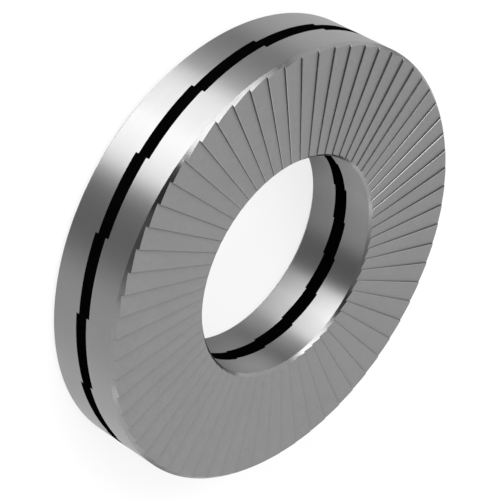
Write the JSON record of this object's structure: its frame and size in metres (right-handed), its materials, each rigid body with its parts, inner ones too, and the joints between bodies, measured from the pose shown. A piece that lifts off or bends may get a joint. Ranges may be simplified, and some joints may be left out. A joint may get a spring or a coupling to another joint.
{
  "type": "wedge lock washer pair",
  "caption": "Ring-shaped pair of wedge lock washers bonded cam to cam by a thin black layer, with radial locking ridges on both outer faces that keep a bolt or nut from turning loose.",
  "frame": {"origin": "on the axis, at the level of the lower washer's ridge crests, which is the surface that the pair lies on", "axes": "+Z along the axis, from the lower washer to the upper one; +X along one of the radial cam steps"},
  "size_m": [0.0108, 0.0108, 0.002],
  "materials": {
    "washer_steel": "satin",
    "black_bond": "matte"
  },
  "bodies": {
    "root": {"upper_lock_washer": "washer_steel", "lower_lock_washer": "washer_steel", "bonding_layer": "black_bond"}
  },
  "joints": []
}
